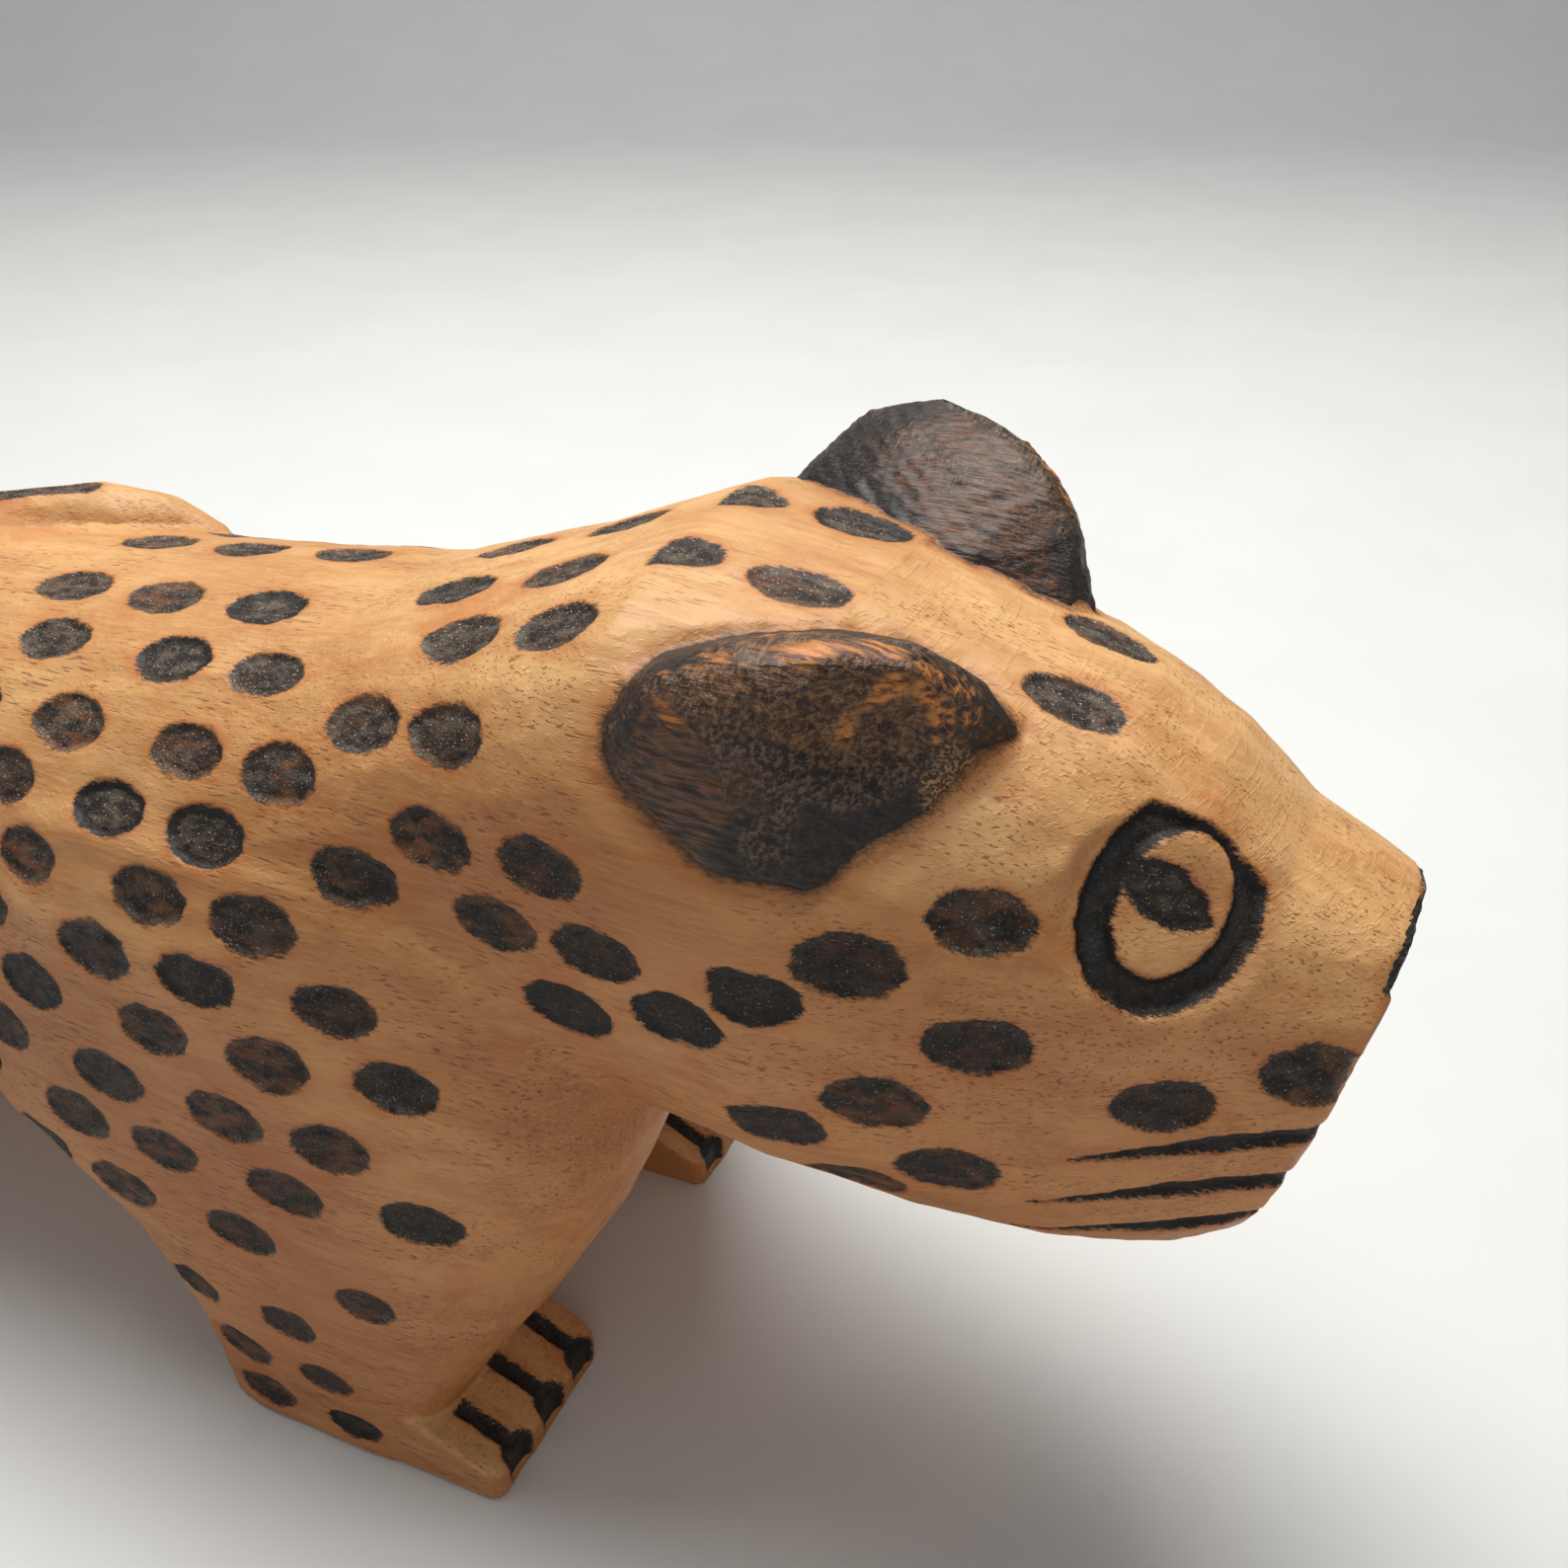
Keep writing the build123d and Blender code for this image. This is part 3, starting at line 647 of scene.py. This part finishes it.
def place_piece(name, points, quads, material, attributes):
    mesh = make_mesh(name, points, quads)
    for key, values in attributes.items():
        set_attribute(mesh, key, values)
    mesh.materials.append(material)
    piece = make_piece(name + "_look", mesh)
    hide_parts(name)
    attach(piece, "root")
    return piece


wood = body_material()
spot_char = char_material("spot_char")
deep_char = char_material("deep_char", 0.45)
ear_char = ear_material()

wood_attributes = {"burn_sd": sd, "burn_heat": heat, "ear_gap": ear_gap}
place_piece("carved_block", body, body_quads, wood, wood_attributes)
body_normals = normals_of(body, body_quads)


def crust(name, index):
    """Closed sheet of char lying in a burn, its rim dipping under the wood."""
    inside = (owner == index) & (sd < -CRUST_INSET * (0.5 if kind_of(name) != "spots" else 1.0))
    faces = body_quads[inside[body_quads].all(1)]
    label = islands(len(body), faces)[faces[:, 0]]
    _, group, size = np.unique(label, return_inverse=True, return_counts=True)
    faces = faces[size[group.ravel()] >= CRUST_SMALLEST]
    if not len(faces):
        raise RuntimeError("no charred surface found for " + name)
    used, flat = np.unique(faces, return_inverse=True)
    faces = flat.reshape(-1, 4)
    count = len(used)
    pairs = np.concatenate([faces[:, [k, (k + 1) % 4]] for k in range(4)])
    ordered = np.sort(pairs, axis=1)
    _, inverse, shares = np.unique(ordered, axis=0, return_inverse=True, return_counts=True)
    rim = pairs[shares[inverse.ravel()] == 1]
    on_rim = np.zeros(count)
    on_rim[rim.ravel()] = 1
    lift = np.where(on_rim > 0, -RIM_DIP, CRUST_LIFT)
    top = body[used] + body_normals[used] * lift[:, None]
    bottom = body[used] - body_normals[used] * CRUST_DEPTH
    points = np.concatenate([top, bottom])
    walls = np.stack([rim[:, 1], rim[:, 0], rim[:, 0] + count, rim[:, 1] + count], 1)
    quads = np.concatenate([faces, faces[:, ::-1] + count, walls])
    return points, quads, {"burn_heat": np.tile(heat[used], 2)}


for index, name in enumerate(burn_nodes):
    points, quads, attributes = crust(name, index)
    deep = kind_of(name) in ("eye_ring", "whisker_burns", "claw_burns")
    material = deep_char if deep else spot_char
    place_piece(name, points, quads, material, attributes)

# Where the iron left each tone on an ear: station along it, distance outwards, and their spreads
EAR_TONES = {
    "right_ear": {"amber": (3.0, -2.0, 13.0, 5.2), "brown": (-9, 5, 8, 7), "tan": (16, 4, 4.5, 5)},
    "left_ear": {"amber": (8, -2.5, 8, 2.2), "brown": (5, -8, 14, 5), "tan": (40, 0, 1, 1)},
}
EAR_ALONG = (0.941, 0.338, -0.024)
EAR_FACING = (0.223, 0.565, 0.795)
EAR_FRONT_OVERHANG = 20
EAR_OUTWARD = 2.5


def ear_place(name, points):
    """Station along an ear and distance outwards from its middle line, in millimetres."""
    side = 1 if name == "left_ear" else -1
    along = np.array([EAR_ALONG[0], -side * EAR_ALONG[1], EAR_ALONG[2]])
    facing = np.array([EAR_FACING[0], side * EAR_FACING[1], EAR_FACING[2]])
    outward = np.cross(facing, along) * side
    low, high = (np.array(c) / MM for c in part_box(name))
    middle = (low + high) / 2
    root = np.array([high[0] - EAR_FRONT_OVERHANG, middle[1] + side * EAR_OUTWARD, middle[2]])
    offset = points - root
    return offset @ along, offset @ outward


for name in ear_nodes:
    points, quads, groove = ears[name]
    station, outward = ear_place(name, points)
    tones = {"groove": groove}
    for tone, (at, over, spread_at, spread_over) in EAR_TONES[name].items():
        tones[tone] = np.exp(-((station - at) / spread_at) ** 2 - ((outward - over) / spread_over) ** 2)
    place_piece(name, points, quads, ear_char, tones)


# ---------------------------------------------------------------- floor, light and camera
def stage_material(name, colour, rough):
    g = Graph(name)
    place = g.place()
    mottle = g.noise(place, (0.02, 0.02, 0.02), detail=3)
    tone = g.mix(g.smooth_step(mottle, 0.3, 0.7), colour, tuple(c * 0.97 for c in colour[:3]) + (1,))
    return finish_graph(g, tone, rough, mottle, strength=0.02)


FLOOR_TURN = 23.5
FLOOR_HALF_WIDTH = 2.2


def sweep():
    """Pale floor that curves up far behind the object."""
    profile = [(-1.2, 0.0), (0.9, 0.0)]
    for k in range(1, 13):
        angle = k / 12 * math.pi / 2
        profile.append((0.9 + 0.35 * math.sin(angle), 0.35 * (1 - math.cos(angle))))
    profile.append((1.25, 1.4))
    turn = math.radians(FLOOR_TURN)
    cos_turn, sin_turn = math.cos(turn), math.sin(turn)
    points, faces = [], []
    for y, z in profile:
        for x in (-FLOOR_HALF_WIDTH, FLOOR_HALF_WIDTH):
            points.append((x * cos_turn - y * sin_turn, x * sin_turn + y * cos_turn, z))
    for k in range(len(profile) - 1):
        faces.append((2 * k, 2 * k + 1, 2 * k + 3, 2 * k + 2))
    mesh = bpy.data.meshes.new("floor")
    mesh.from_pydata(points, [], faces)
    mesh.materials.append(stage_material("floor", srgb(222, 224, 222), 0.6))
    make_piece("floor", mesh)


def area_light(name, place, aim, size, power, colour):
    data = bpy.data.lights.new(name, "AREA")
    data.shape = "RECTANGLE"
    data.size, data.size_y = size
    data.energy = power
    data.color = colour
    lamp = bpy.data.objects.new(name, data)
    lamp.location = place
    lamp.rotation_euler = (Vector(aim) - Vector(place)).to_track_quat("-Z", "Y").to_euler()
    bpy.context.scene.collection.objects.link(lamp)


sweep()
area_light("top", (-0.10, 0.22, 0.85), (0.03, 0.02, 0.08), (0.7, 0.5), 10.0, (1.0, 0.98, 0.95))
area_light("front", (0.5, -0.7, 0.5), (0.05, 0, 0.08), (0.6, 0.5), 0.6, (1.0, 0.97, 0.93))
world = bpy.data.worlds.new("studio")
world.use_nodes = True
world.node_tree.nodes["Background"].inputs["Color"].default_value = (0.95, 0.97, 1.0, 1)
world.node_tree.nodes["Background"].inputs["Strength"].default_value = 0.26
bpy.context.scene.world = world
bpy.context.scene.view_settings.view_transform = "Standard"

CAMERA_PLACE = (0.1261, -0.1396, 0.185)
CAMERA_TURN = 23.5
CAMERA_PITCH = 32.0
CAMERA_LENS = 36.09
CAMERA_SENSOR = 36
camera_data = bpy.data.cameras.new("camera")
camera_data.lens = CAMERA_LENS
camera_data.sensor_width = CAMERA_SENSOR
camera_data.clip_start = 0.01
camera = bpy.data.objects.new("camera", camera_data)
camera.location = CAMERA_PLACE
camera.rotation_euler = (math.radians(90 - CAMERA_PITCH), 0, math.radians(CAMERA_TURN))
bpy.context.scene.collection.objects.link(camera)
bpy.context.scene.camera = camera
